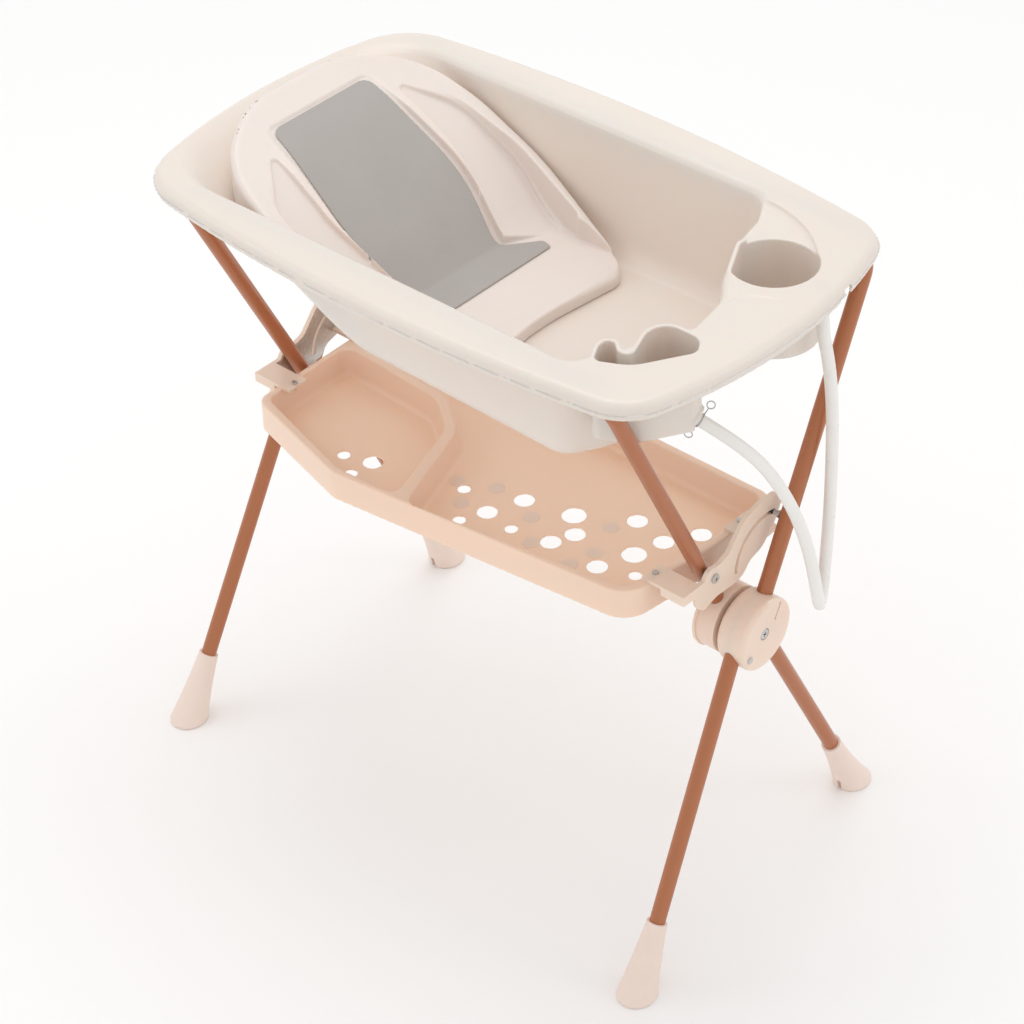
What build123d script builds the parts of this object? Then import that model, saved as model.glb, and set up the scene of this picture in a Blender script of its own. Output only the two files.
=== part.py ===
from build123d import *
from math import cos, pi, radians, sin, tan
import os

# Baby bathtub on a folding crossed-leg stand, with a seat insert and a storage tray.
# The origin is on the floor under the middle of the tub, X runs along the tub,
# Y away from the side where the bather stands, and Z up. All lengths are millimetres.

# Whole object
tub_length = 833.0
tub_width = 526.0
rim_height = 868.0
basin_depth = 159.0
rest_gap = 0.3
overrun = 40.0

# Tub rim
tub_wall = 3.5
skirt_height = 21.0
side_bow = 31.0
head_bow = 36.0
foot_bow = 42.0
head_corner_radius = 88.0
foot_corner_radius = 68.0
rim_roll_radius = 12.0
bead_rise = 7.0
bead_height = 2.4
bead_proud = 1.3
notch_width = 24.0
notch_height = 12.0
prong_width = 5.0
prong_height = 6.0

# Tub basin, with the half sizes of its plan that the outline shares below refer to
plan_half_length = 415.0
plan_half_width = 258.5
basin_edge_radius = 13.0
basin_floor_radius = 40.0
basin_floor_inset = 24.0
pocket_wall = 5.0
cup_radius = 53.0
cup_flat_distance = 44.0
cup_flat_radius = 12.0
cup_flat_turn = 28.0
cup_depth = 94.0
hook_depth = 102.0
ledge_depth = 5.0
dish_depth = 1.8

# Drain
hose_diameter = 15.0
hose_wall = 2.0
spout_wall = 1.6
spout_length = 24.0
spout_flange_radius = 12.0
spout_flange_thickness = 3.0
gasket_thickness = 2.0
clamp_wire = 1.4
clamp_offset = 4.0
clamp_upper_reach = 22.0
clamp_lower_reach = 26.0
clamp_eye_radius = 4.6
clamp_upper_turn = 255.0
clamp_lower_turn = 93.0
peg_length = 22.0

# Seat insert
seat_wall = 3.0
seat_head_height = 36.8
seat_slope = 23.5
seat_lip_depth = 60.0
seat_floor_rise = 18.0
seat_edge_radius = 7.0
pad_thickness = 2.4

# Stand
tube_diameter = 20.0
tube_wall = 1.2
hub_height = 420.0
outer_leg_x = 375.5
inner_leg_x = 333.0
bar_y = 216.0
outer_bar_x = 368.0
bar_bend_radius = 40.0
tube_joint_drop = 65.0
spigot_length = 30.0
leg_offset = 29.2
upper_leg_start = 12.0
lower_leg_start = 16.0
outer_foot_spread = 20.0
inner_foot_spread = 29.0

# Boots
boot_height = 90.0
boot_collar_radius = 13.0
boot_half_length = 28.0
boot_half_width = 25.0
boot_tube_depth = 60.0
boot_edge_radius = 3.0
boot_waist_width = 19.0
boot_waist_length = 18.0
boot_slot_width = 6.0
boot_slot_height = 9.0

# Hinge hub
hub_radius = 48.0
hub_inner_face = 355.5
hub_outer_face = 393.0
hub_ridge = 4.5
hub_ridge_across = 18.0
hub_edge_radius = 7.0
hub_groove_width = 3.0
hub_groove_depth = 2.0
spacer_radius = 16.0
cheek_inner_face = 319.0
cheek_flange = 3.6
cheek_outer_face = 349.3
cheek_radius = 46.0
cheek_boss_radius = 17.0
cheek_open_height = 24.0
bolt_radius = 4.0
bolt_fit = 0.05
bolt_head_radius = 7.0
bolt_head_height = 4.0
nut_radius = 7.2
nut_thickness = 5.0
recess_fit = 0.8
rivet_radius = 2.6
rivet_head_radius = 4.5
rivet_head_height = 1.6

# Tray
tray_half_length = 317.0
tray_far_y = 121.0
tray_near_y = 187.0
tray_top = 515.0
tray_depth = 42.0
tray_floor_rise = 4.0
tray_floor_thickness = 2.5
tray_wall = 3.0
tray_lip = 10.0
tray_corner_radius = 30.0
tray_draft = 9.0
tray_floor_radius = 7.0
tray_edge_radius = 2.0
hole_small = 15.5
hole_middle = 25.0
hole_large = 30.0

# Tray brackets
bracket_face = 346.5
bracket_thickness = 6.0
plate_thickness = 1.5
pivot_height = 514.0
pivot_screw_radius = 3.0
pivot_fit = 0.05
pivot_head_radius = 6.0
pivot_head_height = 3.0
slot_radius = 53.0
slot_width = 6.4
slot_low_angle = 179.0
slot_high_angle = 72.0
pin_distance = 142.4
pin_radius = 3.0
pin_collar_radius = 5.0
pin_collar_length = 3.0
pin_tip_gap = 1.0
plate_inset = 2.0
arm_thickness = 4.0
arm_skirt_gap = 0.5
arm_skirt_drop = 9.0
arm_screw_radius = 2.2
arm_screw_length = 10.0
arm_screw_head_radius = 4.0
arm_screw_head_height = 2.2
near_arm_start = -104.0
near_arm_end = -72.0
near_arm_screw_x = 297.0
far_arm_start = 30.0
far_arm_end = 75.0
far_arm_screw_x = 311.0

# Places worked out from the sizes above
half_length = plan_half_length
half_width = plan_half_width
tube_radius = tube_diameter / 2
hose_radius = hose_diameter / 2
spout_tube_radius = hose_radius - hose_wall
skirt_bottom = rim_height - skirt_height
basin_floor = rim_height - basin_depth
bar_height = rim_height - tub_wall - rest_gap - tube_radius
hub_split = outer_leg_x
lean = Vector(0, bar_y, bar_height - hub_height).normalized()

# Outline points as shares of the plan's half length and half width, with a corner
# radius that is a share of the half width
basin_top_shares = [
    (-0.935, -0.774, 0.348), (0.631, -0.758, 0.097), (0.699, -0.542, 0.116), (0.786, -0.220, 0.077),
    (0.761, 0.010, 0.155), (0.694, 0.155, 0.058), (0.619, 0.387, 0.097), (0.588, 0.619, 0.097),
    (0.530, 0.785, 0.135), (-0.935, 0.774, 0.348),
]
basin_floor_shares = [
    (-0.265, -0.677, 0.232), (0.571, -0.704, 0.135), (0.636, -0.530, 0.097), (0.694, -0.232, 0.116),
    (0.690, 0.010, 0.155), (0.650, 0.174, 0.077), (0.598, 0.368, 0.097), (0.566, 0.580, 0.097),
    (0.506, 0.700, 0.135), (-0.265, 0.677, 0.232),
]
hook_shares = [
    (0.684, -0.696, 0.035), (0.778, -0.622, 0.200), (0.872, -0.372, 0.050), (0.840, -0.285, 0.075),
    (0.715, -0.285, 0.085), (0.712, -0.400, 0.077), (0.752, -0.573, 0.036), (0.706, -0.580, 0.036),
    (0.641, -0.487, 0.031), (0.653, -0.603, 0.054),
]
cup_centre_shares = (0.761, 0.379)
ledge_arc_shares = [(0.547, 0.754), (0.690, 0.708), (0.836, 0.538)]
ledge_inner_shares = [(0.800, 0.400), (0.640, 0.430), (0.560, 0.560), (0.520, 0.700)]
dish_arc_shares = [(0.800, -0.230), (0.786, -0.100), (0.792, 0.060), (0.860, 0.147), (0.935, 0.168)]
dish_edge_share = 0.945
notch_centre_share = 0.445
rivet_place_share = 0.62
flat_radius_share = 0.6
loft_steps = 4

# Seat insert outline and its hollows, as shares of half length and half width
seat_shares = [
    (-0.862, -0.300, 0.500), (-0.735, -0.655, 0.464), (-0.520, -0.725, 0.700), (-0.270, -0.720, 1.200),
    (0.085, -0.595, 0.250), (0.150, -0.500, 0.100), (0.113, 0.0, 1.160), (0.150, 0.500, 0.100),
    (0.085, 0.595, 0.250), (-0.270, 0.720, 1.200), (-0.520, 0.725, 0.700), (-0.735, 0.655, 0.464),
    (-0.862, 0.300, 0.500),
]
pad_shares = [
    (-0.742, -0.317, 0.054), (-0.398, -0.383, 0.580), (-0.222, -0.294, 0.054), (-0.135, -0.472, 0.023),
    (-0.096, -0.455, 0.019), (-0.096, 0.455, 0.019), (-0.135, 0.472, 0.023), (-0.222, 0.294, 0.054),
    (-0.398, 0.383, 0.580), (-0.742, 0.317, 0.054),
]
channel_shares = [
    (-0.696, 0.410, 0.023), (-0.440, 0.425, 0.387), (-0.190, 0.320, 0.031), (-0.050, 0.575, 0.039),
    (-0.337, 0.669, 0.464), (-0.542, 0.619, 0.271),
]
ridge_area_shares = [
    (-0.740, -0.300, 0.100), (-0.660, -0.500, 0.150), (-0.542, -0.625, 0.271), (-0.337, -0.672, 0.464),
    (-0.036, -0.600, 0.039), (-0.202, -0.330, 0.039), (-0.202, 0.330, 0.039), (-0.036, 0.600, 0.039),
    (-0.337, 0.672, 0.464), (-0.542, 0.625, 0.271), (-0.660, 0.500, 0.150), (-0.740, 0.300, 0.100),
]
bed_area_shares = [
    (-0.755, -0.340, 0.060), (-0.398, -0.405, 0.580), (-0.222, -0.325, 0.040), (-0.150, -0.325, 0.020),
    (-0.150, 0.325, 0.020), (-0.222, 0.325, 0.040), (-0.398, 0.405, 0.580), (-0.755, 0.340, 0.060),
]
bottom_shares = [
    (-0.215, -0.340, 0.039), (-0.145, -0.545, 0.060), (-0.036, -0.600, 0.060), (0.300, -0.590, 0.039),
    (0.300, 0.590, 0.039), (-0.036, 0.600, 0.060), (-0.145, 0.545, 0.060), (-0.215, 0.340, 0.039),
]

# Lines down the insert: shares of the half length, and of the fall from head to seat bottom
bed_shares = [
    (-0.742, 0.012), (-0.675, 0.094), (-0.590, 0.236), (-0.489, 0.416), (-0.398, 0.598), (-0.308, 0.795),
    (-0.255, 0.920), (-0.226, 0.978), (-0.198, 1.0), (0.300, 1.0),
]
ridge_line_shares = [
    (-0.740, -0.020), (-0.600, 0.165), (-0.434, 0.440), (-0.300, 0.700), (-0.215, 0.880), (-0.150, 0.972),
    (-0.100, 1.0), (0.300, 1.0),
]
channel_line_shares = [
    (-0.740, 0.020), (-0.600, 0.215), (-0.434, 0.500), (-0.300, 0.765), (-0.215, 0.925), (-0.165, 0.984),
    (-0.120, 1.0), (0.300, 1.0),
]

# Tray outline and divider as shares of the tray's half length and near width
tray_shares = [
    (-0.988, -0.743), (-0.429, -1.000), (0.937, -0.743), (0.991, 0.0), (1.0, 0.647), (-1.0, 0.647),
]
tray_radius_shares = [0.7, 1.3, 1.3, 4.0, 0.9, 0.9]
compartment_shares = [
    (-0.956, -0.690), (-0.429, -0.945), (-0.135, -0.915), (-0.275, -0.170), (-0.440, 0.040), (-0.975, 0.095),
]
compartment_radius_shares = [0.5, 1.0, 0.5, 1.6, 1.6, 0.6]
main_shares = [
    (-0.075, -0.925), (0.905, -0.690), (0.955, 0.0), (0.962, 0.590), (-0.968, 0.590), (-0.968, 0.155),
    (-0.420, 0.100), (-0.235, -0.140),
]
main_radius_shares = [0.5, 1.0, 3.6, 0.6, 0.6, 0.6, 1.8, 1.8]
bracket_shares = [
    (-2.132, -0.377, 0.05), (-1.679, -0.245, 0.6), (-1.113, -0.283, 0.5), (-0.736, -0.208, 0.3),
    (-0.509, 0.057, 0.4), (-0.075, 0.170, 0.5), (0.358, 0.623, 0.5), (0.660, 1.226, 0.12),
    (0.377, 1.430, 0.10), (-0.189, 1.450, 0.5), (-0.736, 1.302, 0.5), (-1.057, 0.925, 0.5),
    (-1.283, 0.679, 0.3), (-1.623, 0.585, 0.3), (-1.943, 0.623, 0.15), (-2.100, 0.413, 0.05),
    (-2.850, 0.413, 0.05), (-2.850, 0.168, 0.05), (-2.434, 0.151, 0.10), (-2.340, -0.208, 0.10),
]
small_hole_shares = [
    (-0.575, -0.640), (-0.062, -0.400), (0.055, -0.665), (0.245, -0.518), (0.377, -0.655),
    (0.790, -0.370), (-0.470, -0.755),
]
middle_hole_shares = [
    (-0.454, -0.573), (0.164, -0.235), (0.104, -0.485), (0.454, -0.295), (0.413, -0.455),
    (0.645, -0.455), (0.583, 0.070), (0.742, 0.010), (0.823, 0.225), (0.640, -0.655),
]
large_hole_shares = [(0.374, -0.150), (0.705, -0.210)]

# Route of the drain hose from the spout down, round and up to the peg under the rim
hose_route = [
    (357.0, -88.5, 771.5), (395.0, -67.0, 745.0), (420.0, -39.0, 702.0), (438.0, -13.0, 640.0),
    (449.0, 7.0, 570.0), (454.0, 21.0, 488.8), (438.0, 46.5, 458.7), (415.5, 82.5, 458.7),
    (399.5, 108.0, 488.8), (400.5, 110.0, 570.0), (401.0, 107.0, 690.0), (398.0, 99.0, 765.0),
    (389.5, 94.0, 810.0), (389.5, 94.0, 852.0),
]


# Helpers for outlines and simple solids

def corner_points(shares):
    """Turn outline shares into real corner points and corner radii."""
    points = [(x * half_length, y * half_width) for x, y, _ in shares]
    radii = [share * half_width for _, _, share in shares]
    return points, radii


def grow(points, radii, growth):
    """Move every side of a counter-clockwise polygon outward, with its corner radii."""
    count = len(points)
    grown = []
    new_radii = []
    for index in range(count):
        before = Vector(*points[index - 1])
        here = Vector(*points[index])
        after = Vector(*points[(index + 1) % count])
        first = (here - before).normalized()
        second = (after - here).normalized()
        first_out = Vector(first.Y, -first.X)
        second_out = Vector(second.Y, -second.X)
        turn = first.X * second.Y - first.Y * second.X
        moved = here + (first_out + second_out) * (growth / (1 + first_out.dot(second_out)))
        grown.append((moved.X, moved.Y))
        new_radii.append(radii[index] + (growth if turn > 0 else -growth))
    return grown, new_radii


def blend(first, second, share):
    """Outline part way from one outline to another with as many corners."""
    points = [(a[0] + (b[0] - a[0]) * share, a[1] + (b[1] - a[1]) * share)
              for a, b in zip(first[0], second[0])]
    radii = [a + (b - a) * share for a, b in zip(first[1], second[1])]
    return points, radii


def outline_face(outline, height):
    """Flat face of an outline with round corners at a height."""
    points, radii = outline
    return make_face(FilletPolyline(*[(x, y, height) for x, y in points], radius=radii, close=True))


def rounded_outline(points, radii, height=0.0, growth=0.0):
    """Face at a height: a counter-clockwise polygon with round corners, grown outward."""
    return outline_face(grow(points, radii, growth), height)


def curved_loft(start, corner, end, heights, ruled=False):
    """Solid whose side leaves one outline along the next and meets the last tangentially."""
    faces = []
    for step in range(loft_steps + 1):
        share = step / loft_steps
        outline = blend(blend(start, corner, share), blend(corner, end, share), share)
        first = heights[0] + (heights[1] - heights[0]) * share
        second = heights[1] + (heights[2] - heights[1]) * share
        faces.append(outline_face(outline, first + (second - first) * share))
    return loft(faces, ruled=ruled)


def prism(face, height):
    """Solid that rises from a flat face by a height."""
    return extrude(face, amount=height, dir=(0, 0, 1))


def rod(start, end, radius):
    """Round bar between two points."""
    axis = Vector(*end) - Vector(*start)
    place = Plane(origin=start, z_dir=axis)
    return place * Cylinder(radius, axis.length, align=(Align.CENTER, Align.CENTER, Align.MIN))


def pipe(start, end, radius, wall):
    """Hollow round tube between two points."""
    axis = (Vector(*end) - Vector(*start)).normalized()
    bore_start = Vector(*start) - axis * overrun
    bore_end = Vector(*end) + axis * overrun
    return rod(start, end, radius) - rod(bore_start, bore_end, radius - wall)


def side_slab(points, half_depth):
    """Solid from an outline in the XZ plane, spread evenly to both sides in Y."""
    outline = Polyline(*[(x, 0, z) for x, z in points], close=True)
    return extrude(make_face(outline), amount=half_depth, dir=(0, 1, 0), both=True)


def disc(start, thickness, radius, y, z):
    """Round disc with its axis along X."""
    return rod((start, y, z), (start + thickness, y, z), radius)


def mirrored(shape):
    """The same shape on the other end of the stand."""
    return mirror(shape, about=Plane.YZ)


def save(name, shape):
    """Write one sub-part."""
    export_step(shape, f"parts/{name}.step")


# Tub

def rim_plan(height, inset=0.0):
    """Plan of the rim: bowed sides and ends with round corners."""
    reach_x = tub_length / 2 - inset
    reach_y = tub_width / 2 - inset
    head_x = reach_x - head_bow
    foot_x = reach_x - foot_bow
    corner_y = reach_y - side_bow
    plan = make_face([
        ThreePointArc((-head_x, -corner_y, height), (0, -reach_y, height), (foot_x, -corner_y, height)),
        ThreePointArc((foot_x, -corner_y, height), (reach_x, 0, height), (foot_x, corner_y, height)),
        ThreePointArc((foot_x, corner_y, height), (0, reach_y, height), (-head_x, corner_y, height)),
        ThreePointArc((-head_x, corner_y, height), (-reach_x, 0, height), (-head_x, -corner_y, height)),
    ])
    head_corners = [corner for corner in plan.vertices() if corner.X < 0]
    plan = fillet(head_corners, head_corner_radius - inset)
    foot_corners = [corner for corner in plan.vertices() if corner.X > 0]
    return fillet(foot_corners, foot_corner_radius - inset)


def rim_cap(inset):
    """Rim body with a rolled top edge, shrunk evenly by an inset."""
    body = prism(rim_plan(skirt_bottom, inset), skirt_height - inset)
    return fillet(body.edges().group_by(Axis.Z)[-1], rim_roll_radius - inset)


def basin_body(growth, top):
    """Body of the basin's hollow with a round floor edge and a flared lip, grown by a wall."""
    floor = basin_floor - growth
    lip_height = rim_height - growth
    upper = grow(*corner_points(basin_top_shares), growth)
    lower = grow(*corner_points(basin_floor_shares), growth)
    flat = grow(*lower, -basin_floor_inset)[0], [radius * flat_radius_share for radius in lower[1]]
    lip = grow(*upper, basin_edge_radius - growth)
    knee_share = basin_floor_radius / basin_depth
    brow_share = 1 - basin_edge_radius / basin_depth
    knee = blend(lower, upper, knee_share)
    brow = blend(lower, upper, brow_share)
    knee_height = floor + (rim_height - floor) * knee_share
    brow_height = floor + (rim_height - floor) * brow_share
    body = curved_loft(flat, lower, knee, (floor, floor, knee_height))
    body += loft([outline_face(knee, knee_height), outline_face(brow, brow_height)], ruled=True)
    body += curved_loft(brow, upper, lip, (brow_height, lip_height, lip_height), ruled=True)
    return body + prism(outline_face(lip, lip_height), top - lip_height)


def hook_outline(height, growth=0.0):
    """Outline of the hooked pocket."""
    points, radii = corner_points(hook_shares)
    return rounded_outline(points, radii, height, growth)


def cup_centre():
    """Centre of the round cup pocket in plan."""
    return cup_centre_shares[0] * half_length, cup_centre_shares[1] * half_width


def cup_body(bottom, top, growth=0.0):
    """Round pocket with one flat side toward the basin."""
    x, y = cup_centre()
    reach = cup_radius + growth
    body = Pos(x, y, bottom) * Cylinder(reach, top - bottom, align=(Align.CENTER, Align.CENTER, Align.MIN))
    keep = Box(3 * reach, 3 * reach, 3 * (top - bottom), align=(Align.MIN, Align.CENTER, Align.CENTER))
    keep = Pos(x, y, bottom) * Rot(0, 0, cup_flat_turn) * Pos(-cup_flat_distance - growth, 0, 0) * keep
    body = body & keep
    upright = body.edges().filter_by(Axis.Z)
    sharp = [edge for edge in upright if edge.center().X < x - cup_flat_distance / 2]
    return fillet(sharp, cup_flat_radius + growth)


def ledge_face(height):
    """Crescent behind the cup, at a height."""
    arc = [(x * half_length, y * half_width, height) for x, y in ledge_arc_shares]
    inner = [(x * half_length, y * half_width, height) for x, y in ledge_inner_shares]
    return make_face([ThreePointArc(*arc), Polyline(arc[-1], *inner, arc[0])])


def dish_cut():
    """Shallow sloping dish on the end rim, deepest along its curved edge."""
    low = dish_arc_shares[1][0] * half_length
    high = dish_edge_share * half_length
    wedge = side_slab(
        [(low - dish_depth, rim_height - dish_depth), (high, rim_height), (high, rim_height + overrun),
         (low - dish_depth, rim_height + overrun)], half_width)
    points = [(x * half_length, y * half_width, rim_height - overrun) for x, y in dish_arc_shares]
    curve = Spline(*points)
    corner_low = (high, points[0][1], rim_height - overrun)
    corner_high = (high, points[-1][1], rim_height - overrun)
    plan = make_face([curve, Polyline(points[-1], corner_high, corner_low, points[0])])
    return wedge & prism(plan, 3 * overrun)


def skirt_notch():
    """Notch in the end skirt beside the far leg, with one small prong hanging in it."""
    y = notch_centre_share * half_width
    depth = 4 * rim_roll_radius
    block = Box(depth, notch_width, 2 * notch_height)
    prong = Box(depth, prong_width, prong_height)
    prong = Pos(0, -notch_width / 4, notch_height - prong_height / 2) * prong
    return Pos(tub_length / 2, y, skirt_bottom) * (block - prong)


def spout_places():
    """Start of the hose on the pocket's side, and the direction in which the spout points."""
    start = Vector(*hose_route[0])
    return start, (Vector(*hose_route[1]) - start).normalized()


def make_tub():
    """Tub shell with rim, basin, hooked pocket, cup pocket, ledge, dish and skirt notch."""
    hook_bottom = rim_height - hook_depth
    cup_bottom = rim_height - cup_depth
    bead = prism(rim_plan(skirt_bottom + bead_rise, -bead_proud), bead_height)
    shell = rim_cap(0.0) + bead - rim_cap(tub_wall)
    shell += basin_body(tub_wall, rim_height)
    shell += prism(hook_outline(hook_bottom - tub_wall, tub_wall), hook_depth)
    shell += cup_body(cup_bottom - tub_wall, rim_height, tub_wall)
    ledge_bottom = rim_height - ledge_depth
    shell += prism(offset(ledge_face(ledge_bottom - tub_wall), tub_wall), ledge_depth)
    hollow = basin_body(0.0, rim_height + overrun)
    hollow -= prism(hook_outline(basin_floor - overrun, pocket_wall), rim_height - basin_floor + 3 * overrun)
    hollow -= cup_body(cup_bottom - tub_wall, rim_height + 3 * overrun, pocket_wall)
    shell -= hollow
    under_height = hook_bottom - tub_wall - basin_floor + overrun
    shell -= prism(hook_outline(basin_floor - overrun), under_height)
    shell -= prism(hook_outline(hook_bottom), hook_depth + overrun)
    shell -= cup_body(cup_bottom, rim_height + overrun)
    shell -= prism(ledge_face(ledge_bottom), ledge_depth + overrun)
    shell -= dish_cut()
    shell -= skirt_notch()
    start, way = spout_places()
    seat = start - way * (spout_flange_thickness + gasket_thickness)
    shell += rod(seat - way * tub_wall, start, spout_flange_radius + rest_gap + tub_wall)
    shell -= rod(seat, start + way * overrun, spout_flange_radius + rest_gap)
    return shell - rod(seat - way * overrun, start, spout_tube_radius + rest_gap)


# Drain

def make_spout():
    """Spout that stands out of the pocket's side, with a flange outside the wall."""
    start, way = spout_places()
    flange_back = start - way * spout_flange_thickness
    inside = flange_back - way * (gasket_thickness + 2 * pocket_wall)
    spout = rod(inside, start + way * spout_length, spout_tube_radius)
    spout += rod(flange_back, start, spout_flange_radius)
    return spout - rod(inside - way * overrun, start + way * overrun, spout_tube_radius - spout_wall)


def make_gasket():
    """Ring that seals the spout's flange against the pocket."""
    start, way = spout_places()
    back = start - way * (spout_flange_thickness + gasket_thickness)
    front = start - way * spout_flange_thickness
    reach = spout_flange_radius - spout_wall
    return pipe(back, front, reach, reach - spout_tube_radius)


def hose_path():
    """Centre line of the hose: straight runs joined by tangent arcs."""
    points = [Vector(*point) for point in hose_route]
    radii = []
    for before, here, after in zip(points, points[1:], points[2:]):
        turn = radians((here - before).get_angle(after - here))
        shorter = min((here - before).length, (after - here).length)
        radii.append(0.45 * shorter / tan(turn / 2))
    print("hose radii", [round(radius, 1) for radius in radii])
    return FilletPolyline(*points, radius=radii)


def make_hose():
    """Drain hose with its bore along the whole route."""
    path = hose_path()
    start = Plane(origin=path @ 0, z_dir=path % 0)
    ring = start * (Circle(hose_radius) - Circle(hose_radius - hose_wall))
    hose = sweep(ring, path=path)
    section = pi * (hose_radius ** 2 - (hose_radius - hose_wall) ** 2)
    print("hose volume over section times length", round(hose.volume / (section * path.length), 4))
    return hose


def make_peg():
    """Peg under the rim that closes the hose's free end."""
    x, y, top = hose_route[-1]
    ceiling = rim_height - tub_wall
    peg = rod((x, y, top - peg_length), (x, y, ceiling), spout_tube_radius)
    return peg + rod((x, y, top), (x, y, ceiling), hose_radius)


def make_clamp():
    """Wire spring clamp round the hose, with two finger eyes."""
    start, way = spout_places()
    centre = start + way * clamp_offset
    wire = clamp_wire / 2
    ring_radius = hose_radius + wire + rest_gap / 2
    place = Plane(origin=centre, x_dir=way.cross(Vector(0, 0, 1)), z_dir=way)
    clamp = Torus(ring_radius, wire)
    for turn, reach in ((clamp_upper_turn, clamp_upper_reach), (clamp_lower_turn, clamp_lower_reach)):
        ear = rod((ring_radius, 0, 0), (reach - clamp_eye_radius, 0, 0), wire)
        ear += Pos(reach, 0, 0) * Rot(90, 0, 0) * Torus(clamp_eye_radius, wire)
        clamp += Rot(0, 0, turn) * ear
    return place * clamp


# Seat insert

def seat_plane_height(x):
    """Height of the insert's sloping top plane at a place along the tub."""
    head_x = seat_shares[0][0] * half_length
    return rim_height + seat_head_height - (x - head_x) * tan(radians(seat_slope))


def seat_floor_height():
    """Height of the flat seat bottom."""
    return basin_floor + seat_floor_rise


def fall_line(shares, drop):
    """Line down the insert as X and Z places, from shares of its length and fall."""
    top = seat_plane_height(bed_shares[0][0] * half_length)
    fall = top - seat_floor_height()
    return [(x * half_length, top - share * fall - drop) for x, share in shares]


def hollow_above(shares, growth, line, smooth=False):
    """Space inside a plan outline and above a line that runs down the insert."""
    points, radii = corner_points(shares)
    plan = prism(rounded_outline(points, radii, basin_floor - overrun, growth), rim_height)
    low = [(x, 0, z) for x, z in line]
    ceiling = rim_height + 2 * overrun
    head = -half_length
    foot = half_length
    floor = [Polyline(*low)]
    if smooth:
        ways = [(1, 0, -tan(radians(seat_slope))), (1, 0, 0)]
        floor = [Spline(*low[:-1], tangents=ways), Line(low[-2], low[-1])]
    closing = Polyline(
        low[-1], (foot, 0, low[-1][2]), (foot, 0, ceiling), (head, 0, ceiling), (head, 0, low[0][2]), low[0])
    above = extrude(make_face(floor + [closing]), amount=half_width, dir=(0, 1, 0), both=True)
    return plan & above


def seat_hollows(growth, drop):
    """All the hollows in the insert's top, grown by a wall and lowered by a drop."""
    flat = [(bed_shares[0][0] * half_length, seat_floor_height() - drop),
            (bed_shares[-1][0] * half_length, seat_floor_height() - drop)]
    hollows = hollow_above(ridge_area_shares, growth, fall_line(ridge_line_shares, drop), smooth=True)
    channel = hollow_above(channel_shares, growth, fall_line(channel_line_shares, drop), smooth=True)
    hollows += channel
    hollows += mirror(channel, about=Plane.XZ)
    hollows += hollow_above(bed_area_shares, growth, fall_line(bed_shares, drop), smooth=True)
    return hollows + hollow_above(bottom_shares, growth, flat)


def seat_body(growth, drop, base):
    """Solid under the insert's sloping top plane and inside its outline."""
    points, radii = corner_points(seat_shares)
    body = prism(rounded_outline(points, radii, base, growth), rim_height)
    head = -half_length
    foot = half_length
    above = side_slab(
        [(head, seat_plane_height(head) - drop), (foot, seat_plane_height(foot) - drop),
         (foot, 2 * rim_height), (head, 2 * rim_height)], half_width)
    return body - above


def make_seat():
    """Seat insert: a thin shell with a deep lip, a back rest, side channels and a flat seat."""
    body = seat_body(0.0, 0.0, basin_floor + rest_gap)
    top_face = body.faces().sort_by(Axis.Z)[-1]
    body = fillet(top_face.edges(), seat_edge_radius)
    shell = body - seat_hollows(0.0, 0.0)
    shell -= seat_body(-seat_wall, seat_wall, basin_floor - overrun) - seat_hollows(seat_wall, seat_wall)
    head = seat_shares[1][0] * half_length
    foot = half_length
    under = side_slab(
        [(head, 0), (foot, 0), (foot, seat_plane_height(foot) - seat_lip_depth),
         (head, seat_plane_height(head) - seat_lip_depth)], half_width)
    points, radii = corner_points(seat_shares)
    ring = prism(rounded_outline(points, radii, basin_floor - overrun, overrun), rim_height)
    ring -= prism(rounded_outline(points, radii, basin_floor - overrun, -seat_wall - rest_gap), rim_height)
    shell -= ring & under
    return shell & basin_body(-rest_gap, rim_height + 2 * overrun)


def make_pad():
    """Soft pad that follows the back rest and the seat bottom."""
    low = hollow_above(pad_shares, 0.0, fall_line(bed_shares, -rest_gap), smooth=True)
    upper_line = fall_line(bed_shares, -rest_gap - pad_thickness)
    return low - hollow_above(pad_shares, seat_wall, upper_line, smooth=True)


# Folding stand. The outer frame's upper legs lean to +Y, the inner frame's to -Y.

def across(side):
    """Direction square to the upper leg in its own plane, toward the low side."""
    return Vector(0, side * lean.Z, -lean.Y)


def upper_leg_points(leg_x, bar_x, side):
    """Ends of an upper leg's centre line: near the hinge, at its joint, and at the bar's corner."""
    corner = Vector(bar_x, side * bar_y, bar_height)
    hinge = Vector(leg_x, 0, hub_height)
    along = (corner - hinge).normalized()
    start = hinge + along * upper_leg_start
    joint = hinge + along * ((bar_height - tube_joint_drop - hub_height) / along.Z)
    return start, joint, corner


def lower_leg_points(leg_x, side, spread):
    """Ends of a lower leg's centre line: in the hub, and on the floor."""
    middle = Vector(leg_x, 0, hub_height) - across(side) * leg_offset
    floor_y = middle.Y - side * middle.Z * lean.Y / lean.Z
    foot = Vector(leg_x + spread, floor_y, 0)
    down = (foot - middle).normalized()
    return middle - down * lower_leg_start, foot


def leg_tube(start, end):
    """Hollow stand tube."""
    return pipe(start, end, tube_radius, tube_wall)


def make_upper_leg(leg_x, bar_x, side):
    """Straight upper leg from the hub to the joint with the top bar."""
    start, joint, _ = upper_leg_points(leg_x, bar_x, side)
    return leg_tube(start, joint)


def make_lower_leg(leg_x, side, spread):
    """Straight lower leg from the hub into its boot."""
    top, foot = lower_leg_points(leg_x, side, spread)
    down = (foot - top).normalized()
    end = foot - down * ((boot_height - boot_tube_depth) / -down.Z)
    return leg_tube(top, end)


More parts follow.
